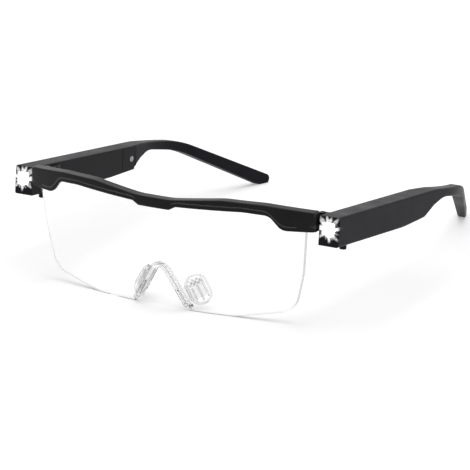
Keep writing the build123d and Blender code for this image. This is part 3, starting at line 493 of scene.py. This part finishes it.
def lamp_light(t, where):
    """A painted glow of the lamp's light and glare on its face: a bright middle and uneven painted rays that
    fade outwards and backwards.

    Also the distance from its middle, less where a ray runs.
    """
    parts = t.add("ShaderNodeSeparateXYZ")
    t.link(where, parts.inputs[0])
    mirror = t.add("ShaderNodeCombineXYZ")
    for axis, value in (("X", t.math("SIGN", parts.outputs["X"])), ("Y", 1.0), ("Z", 1.0)):
        t.put(value, mirror.inputs[axis])
    offset = t.vector("SUBTRACT", t.vector("MULTIPLY", where, mirror.outputs[0]), LAMP_FACE)
    along = t.vector("DOT_PRODUCT", offset, LAMP_FORWARD)
    up = t.vector("DOT_PRODUCT", offset, LAMP_UP)
    out = t.vector("DOT_PRODUCT", offset, LAMP_OUT)
    turn = t.math("ARCTAN2", up, out)
    distance = t.math("SQRT", t.math("ADD", t.math("MULTIPLY", up, up), t.math("MULTIPLY", out, out)))
    reach = t.spread(t.noise(where, *LAMP_NOISE), *(LAMP_CORE * share for share in LAMP_UNEVEN))
    for angle, length, narrow in PAINTED_GLARE_RAYS:
        near = t.math("COSINE", t.math("SUBTRACT", turn, math.radians(angle)))
        ray = t.math("POWER", t.math("MAXIMUM", near, 0.0), narrow)
        reach = t.math("ADD", reach, t.math("MULTIPLY", ray, length * MM))
    lit = t.levels(t.math("SUBTRACT", reach, distance), -LAMP_SOFT, LAMP_SOFT)
    dimmer = t.levels(distance, LAMP_CORE, LAMP_DIM_AT * LAMP_CORE, 1.0, LAMP_DIM)
    backwards = t.math("EXPONENT", t.math("MULTIPLY", t.math("ABSOLUTE", along), -1.0 / LAMP_FADE))
    forward = t.vector("DOT_PRODUCT", t.coords("Normal"), LAMP_FORWARD)
    facing = t.levels(forward, 0.0, LAMP_FACING, LAMP_LEAST, 1.0)
    light = t.math("MULTIPLY", t.math("MULTIPLY", lit, lit), dimmer)
    light = t.math("MULTIPLY", t.math("MULTIPLY", light, backwards), facing)
    return light, t.math("SUBTRACT", distance, t.math("MULTIPLY", reach, LAMP_CUSPS))


def lit_window(name, core, edge, tints, rough, mask_tints, mask_rough, mask_specular):
    """The lamp's window: clear and glowing in its middle and along the painted glare rays, masked black
    round it, where the painted rays glow too.
    """
    made, t = material(name)
    where = t.coords()
    light, short = lamp_light(t, where)
    haze = t.shades(t.noise(where, *WINDOW_HAZE), *tints)
    glass = t.principled(haze, rough, IOR=ACRYLIC_IOR, Transmission_Weight=1.0)
    strength = t.levels(light, 0.0, WINDOW_FULL, edge, core)
    glow = t.shader("ShaderNodeEmission", Color=haze, Strength=strength)
    # the mask glows where the painted glare rays cross it
    mask = t.principled(t.shades(t.noise(where, *FROST), *mask_tints), mask_rough,
                        Specular_IOR_Level=mask_specular, Emission_Color=WHITE, Emission_Strength=light)
    masked = t.levels(short, LAMP_CLEAR, LAMP_CLEAR + LAMP_CLEAR_SOFT)
    with_light_shadow(t, t.blend(masked, t.both(glass, glow), mask), WHITE)
    return made


LOOKS = {
    # frame and temples: painted_spill is the strength of a painted glow of the lamps' light and glare near
    # the lamps
    "frame_black": (moulded, dict(
        dark=grey(0.005), pale=grey(0.009), rough=(0.26, 0.36), grain=2600.0, depth=0.03,
        edge=0.25, specular=0.12, rounding=0.5, painted_spill=0.22)),
    # the bead's paler colour is a painted highlight along the bar's front
    "bead_black": (moulded, dict(
        dark=grey(0.014), pale=grey(0.022), rough=(0.22, 0.32), grain=2600.0, depth=0.02, specular=0.4)),
    "temple_black": (moulded, dict(
        dark=(0.009, 0.009, 0.012), pale=(0.013, 0.012, 0.016), rough=(0.34, 0.46), grain=1800.0,
        depth=0.05, edge=0.25, specular=0.06, rounding=0.8, painted_spill=1.2)),
    "cover_black": (moulded, dict(
        dark=(0.008, 0.008, 0.010), pale=(0.014, 0.014, 0.016), rough=(0.34, 0.46), grain=2200.0,
        depth=0.04, edge=0.25, specular=0.07)),
    "button_black": (moulded, dict(
        dark=grey(0.008), pale=grey(0.016), rough=(0.45, 0.6), grain=2400.0, depth=0.04, specular=0.15)),
    "board_green": (moulded, dict(
        dark=(0.012, 0.075, 0.03), pale=(0.03, 0.14, 0.06), rough=(0.3, 0.5), grain=1400.0, depth=0.04)),
    "wire_red": (moulded, dict(
        dark=(0.24, 0.015, 0.015), pale=(0.38, 0.03, 0.03), rough=(0.4, 0.55), grain=1500.0, depth=0.03)),
    "switch_dark": (moulded, dict(
        dark=grey(0.03), pale=grey(0.06), rough=(0.4, 0.55), grain=1500.0, depth=0.03)),
    "lens_clear": (clear_lens, dict(
        tints=(grey(0.985), WHITE), rough=(0.0, 0.02), ior=ACRYLIC_IOR, shadows=(grey(0.98), grey(0.05)),
        frost=(grey(0.5), grey(0.66)), rim_share=0.4, edge_share=0.14, grain=60.0, depth=0.01,
        straight=(0.96, 0.97, 0.97))),
    "saddle_clear": (clear, dict(
        tints=(grey(0.98), WHITE), rough=(0.03, 0.08), ior=1.40, shadows=(grey(0.94), grey(0.55)),
        frost=(grey(0.5), grey(0.66)), share=0.07, grain=300.0, depth=0.04)),
    "pad_clear": (clear, dict(
        tints=(grey(0.97), WHITE), rough=(0.06, 0.12), ior=1.33, shadows=(grey(0.92), grey(0.6)),
        frost=(grey(0.6), grey(0.75)), share=0.02, grain=500.0, depth=0.06)),
    "rib_clear": (clear, dict(
        tints=(grey(0.96), WHITE), rough=(0.06, 0.12), ior=1.33, shadows=(grey(0.9), grey(0.6)),
        frost=(grey(0.42), grey(0.55)), share=0.10, grain=500.0, depth=0.06)),
    "window_clear": (lit_window, dict(
        core=1.6, edge=0.1, tints=(grey(0.96), WHITE), rough=0.02,
        mask_tints=(grey(0.006), grey(0.02)), mask_rough=0.4, mask_specular=0.1)),
    "emitter_white": (glowing, dict(
        core=(1.0, 1.0, 0.97), rim=(1.0, 0.97, 0.88), strength=6.0, rough=0.3)),
    "screw_steel": (metal, dict(
        dark=grey(0.24), pale=grey(0.38), rough=(0.22, 0.38), stretch=(1.0, 1.0, 0.15))),
    "hinge_steel": (metal, dict(
        dark=grey(0.02), pale=grey(0.05), rough=(0.32, 0.46), stretch=(1.0, 0.3, 1.0))),
    "reflector_chrome": (metal, dict(
        dark=grey(0.86), pale=grey(0.95), rough=(0.06, 0.14), stretch=(1.0, 1.0, 1.0), scale=500.0)),
    "cell_silver": (metal, dict(
        dark=grey(0.52), pale=grey(0.66), rough=(0.35, 0.5), stretch=(1.0, 0.2, 1.0), scale=500.0)),
    "socket_steel": (metal, dict(
        dark=grey(0.5), pale=grey(0.66), rough=(0.2, 0.34), stretch=(0.2, 1.0, 1.0))),
}
MATERIALS = {name: make(name, **look) for name, (make, look) in LOOKS.items()}

# Each solid's material, without the side in its name
NODE_MATERIALS = {
    "brow_bar": "frame_black",
    "magnifier_lens": "lens_clear",
    "nose_saddle": "saddle_clear",
    "nose_pad": "pad_clear",
    "lens_screws": "screw_steel",
    "front_leaf_screws": "hinge_steel",
    "front_hinge_leaf": "hinge_steel",
    "temple_shell": "temple_black",
    "temple_cover": "cover_black",
    "cover_screw": "screw_steel",
    "temple_hinge_leaf": "hinge_steel",
    "temple_leaf_screws": "hinge_steel",
    "hinge_pin": "hinge_steel",
    "lamp_window": "window_clear",
    "lamp_reflector": "reflector_chrome",
    "lamp_emitter": "emitter_white",
    "lamp_board": "board_green",
    "lamp_wires": "wire_red",
    "circuit_board": "board_green",
    "battery_wires": "wire_red",
    "battery_cell": "cell_silver",
    "button_switch": "switch_dark",
    "charging_socket": "socket_steel",
    "push_button": "button_black",
}


def plain_name(name):
    for side in SIDES:
        name = name.removeprefix(side + "_")
    return name


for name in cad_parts:
    slots = node(name).data.materials
    slots.clear()
    slots.append(MATERIALS[NODE_MATERIALS[plain_name(name)]])


# ---------------------------------------------------------------- pieces

def piece(name, mesh, look, body):
    """A finished mesh as a piece that rides on a body."""
    data = bpy.data.meshes.new(name)
    bmesh.ops.recalc_face_normals(mesh, faces=mesh.faces)
    mesh.to_mesh(data)
    mesh.free()
    for face in data.polygons:
        face.use_smooth = True
    data.materials.append(MATERIALS[look])
    made = bpy.data.objects.new(name, data)
    bpy.context.collection.objects.link(made)
    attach(made, body)


def sweep(mesh, points, radii, normal, closed=False, sides=10):
    """A round rod through the points, closed into a ring or with its ends capped."""
    rings = []
    count = len(points)
    for place, (point, radius) in enumerate(zip(points, radii)):
        if closed:
            before, after = points[place - 1], points[(place + 1) % count]
        else:
            before, after = points[max(place - 1, 0)], points[min(place + 1, count - 1)]
        side = (after - before).cross(normal).normalized()
        ring = []
        for step in range(sides):
            turn = 2 * math.pi * step / sides
            ring.append(mesh.verts.new(point + (side * math.cos(turn) + normal * math.sin(turn)) * radius))
        rings.append(ring)
    pairs = list(zip(rings, rings[1:]))
    if closed:
        pairs.append((rings[-1], rings[0]))
    for first, second in pairs:
        for step in range(sides):
            follow = (step + 1) % sides
            mesh.faces.new((first[step], first[follow], second[follow], second[step]))
    if not closed:
        mesh.faces.new(rings[0])
        mesh.faces.new(list(reversed(rings[-1])))


def pad_frame(sign):
    """The middle of a nose pad and its ways back, up the leg and to the nose."""
    outward = Vector((math.cos(LEG_LEAN), 0, math.sin(LEG_LEAN)))
    back = Vector((0, math.cos(PAD_FLARE), 0)) + outward * math.sin(PAD_FLARE)
    inward = Vector((0, math.sin(PAD_FLARE), 0)) - outward * math.cos(PAD_FLARE)
    up = back.cross(inward)
    low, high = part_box("left_nose_pad")
    middle = (Vector(low) + Vector(high)) / 2
    return [Vector((sign * way.x, way.y, way.z)) for way in (middle, back, up, inward)]


def pad_edge(inset):
    """Points of a nose pad's rounded outline, drawn in by an inset, as distances back and up."""
    corner = PAD_CORNER - inset
    reach, tall = PAD_REACH / 2 - PAD_CORNER, PAD_TALL / 2 - PAD_CORNER
    points = []
    for quarter, (sx, sy) in enumerate(((1, 1), (-1, 1), (-1, -1), (1, -1))):
        for step in range(PAD_CORNER_POINTS):
            turn = math.pi / 2 * (quarter + step / (PAD_CORNER_POINTS - 1))
            points.append((sx * reach + corner * math.cos(turn), sy * tall + corner * math.sin(turn)))
    return points


def pad_ribs(side, sign):
    """The moulded edge and ribs of a nose pad: three long ribs, and a small lattice near its top."""
    middle, back, up, inward = pad_frame(sign)
    mesh = bmesh.new()
    for face in (-1, 1):
        level = middle + inward * (face * (PAD_THICK / 2 - RIB_SUNK))
        edge = [level + back * x + up * z for x, z in pad_edge(EDGE_RIB_INSET)]
        sweep(mesh, edge, [EDGE_RIB_RADIUS] * len(edge), inward, closed=True)
        for across, low, high in RIB_LINES:
            foot = level + back * (across * PAD_REACH / 2)
            line = [foot + up * (PAD_TALL / 2 * (low + (high - low) * share)) for share in RIB_SHARES]
            sweep(mesh, line, [size * MM for size in RIB_RADII], inward)
        crossing = level + up * (LATTICE_HEIGHT * PAD_TALL / 2)
        for slant in (-1, 1):
            for step in (-1, 0, 1):
                centre = crossing + back * (step * LATTICE_STEP * PAD_REACH / 2)
                half = (back * slant + up).normalized() * (LATTICE_HALF - LATTICE_SHORTER * abs(step)) * MM
                line = [centre + half * share for share in LATTICE_SHARES]
                sweep(mesh, line, [size * MM for size in LATTICE_RADII], inward)
    piece(f"{side}_pad_ribs", mesh, "rib_clear", "front")


def bar_tree():
    data = node("brow_bar").data
    return BVHTree.FromPolygons([v.co for v in data.vertices], [p.vertices for p in data.polygons])


def bar_foot(tree, x):
    """The lowest point found on the bar's front at this x."""
    for step in range(BEAD_SCAN_STEPS):
        start = Vector((x, BEAD_SCAN_FROM, BEAD_SCAN_LOW + step * BEAD_SCAN_STEP))
        place = tree.ray_cast(start, AHEAD, BEAD_SCAN_REACH)[0]
        if place is not None:
            return place


def bar_bead(side, sign, tree):
    """The fine raised line along the bar's front, a little above its lower edge, paler than the bar as a
    painted highlight.
    """
    points = []
    for step in range(BEAD_STATIONS):
        foot = bar_foot(tree, sign * (BEAD_START + BEAD_STEP * step))
        place = tree.ray_cast(foot + Vector((0, -BEAD_BACK_OFF, BEAD_RISE)), AHEAD, BEAD_REACH)[0]
        place.y = max(place.y + BEAD_SUNK, CAD_BOX[0][1] + BEAD_RADIUS + BEAD_SUNK)
        points.append(place)
    smooth = [(a + b * 2 + c) / 4 for a, b, c in zip(points, points[1:], points[2:])]
    radii = [BEAD_TIP_RADIUS] + [BEAD_RADIUS] * (len(smooth) - 2) + [BEAD_TIP_RADIUS]
    mesh = bmesh.new()
    sweep(mesh, smooth, radii, AHEAD)
    piece(f"{side}_bar_bead", mesh, "bead_black", "front")


def socket_tongue(side, sign):
    """The contact tongue in the charging socket's mouth."""
    mesh = bmesh.new()
    bmesh.ops.create_cube(mesh, size=1.0)
    bmesh.ops.scale(mesh, vec=TONGUE_SIZE, verts=mesh.verts)
    bmesh.ops.bevel(mesh, geom=list(mesh.edges), offset=TONGUE_BEVEL, segments=2, affect="EDGES")
    centre = SOCKET_MOUTH - SOCKET_OUT * TONGUE_DEPTH
    place = Matrix.Translation(centre) @ Matrix.Rotation(-BODY_SLOPE, 4, "X")
    bmesh.ops.transform(mesh, matrix=place, verts=mesh.verts)
    bmesh.ops.scale(mesh, vec=(sign, 1.0, 1.0), verts=mesh.verts)
    piece(f"{side}_socket_tongue", mesh, "switch_dark", f"{side}_temple")


BAR_TREE = bar_tree()
for side, sign in SIDES.items():
    pad_ribs(side, sign)
    bar_bead(side, sign, BAR_TREE)
    socket_tongue(side, sign)


# ---------------------------------------------------------------- floor, world, lamp and camera

def build_floor():
    """A pale floor that keeps the object's shadow and is white to the eye further off."""
    bpy.ops.mesh.primitive_plane_add(size=FLOOR_SIZE)
    floor = bpy.context.object
    floor.name = "floor"
    made, t = material("floor")
    colour = t.shades(t.noise(t.coords(), *FLOOR_NOISE), grey(FLOOR_DARK), grey(FLOOR_PALE))
    diffuse = t.shader("ShaderNodeBsdfDiffuse", Color=colour)
    away = t.vector("LENGTH", t.coords())
    level = t.levels(away, FLOOR_NEAR, FLOOR_FAR, FLOOR_GLOW_NEAR, FLOOR_GLOW_FAR)
    glow = t.shader("ShaderNodeEmission", Strength=t.seen(level))
    t.output(t.both(diffuse, glow))
    floor.data.materials.append(made)


def build_world():
    """White to the eye, in gloss and through glass, and plain light on the object."""
    world = bpy.data.worlds.new("studio")
    bpy.context.scene.world = world
    t = Tree(world)
    strength = t.math("MAXIMUM", t.seen(1.0), WORLD_LEVEL)
    t.output(t.shader("ShaderNodeBackground", Color=WHITE, Strength=strength), "ShaderNodeOutputWorld")


def build_lamp():
    data = bpy.data.lights.new("overhead", "AREA")
    data.shape = "SQUARE"
    data.size = OVERHEAD_WIDTH
    data.energy = OVERHEAD_POWER
    lamp = bpy.data.objects.new("overhead", data)
    lamp.location = OVERHEAD_PLACE
    lamp.rotation_euler = (-OVERHEAD_PLACE).to_track_quat("-Z", "Y").to_euler()
    bpy.context.collection.objects.link(lamp)


def build_camera():
    away = Vector((math.sin(AZIMUTH), -math.cos(AZIMUTH), 0.0)) * math.cos(ELEVATION)
    away.z = math.sin(ELEVATION)
    data = bpy.data.cameras.new("camera")
    data.sensor_width = SENSOR
    data.lens = FOCAL_PIXELS * SENSOR / FRAME_PIXELS
    data.clip_start = CLIP_START
    camera = bpy.data.objects.new("camera", data)
    camera.location = TARGET + away * DISTANCE
    camera.rotation_euler = away.to_track_quat("Z", "Y").to_euler()
    bpy.context.collection.objects.link(camera)
    bpy.context.scene.camera = camera


build_camera()
build_floor()
build_world()
build_lamp()
bpy.context.scene.view_settings.view_transform = "Standard"
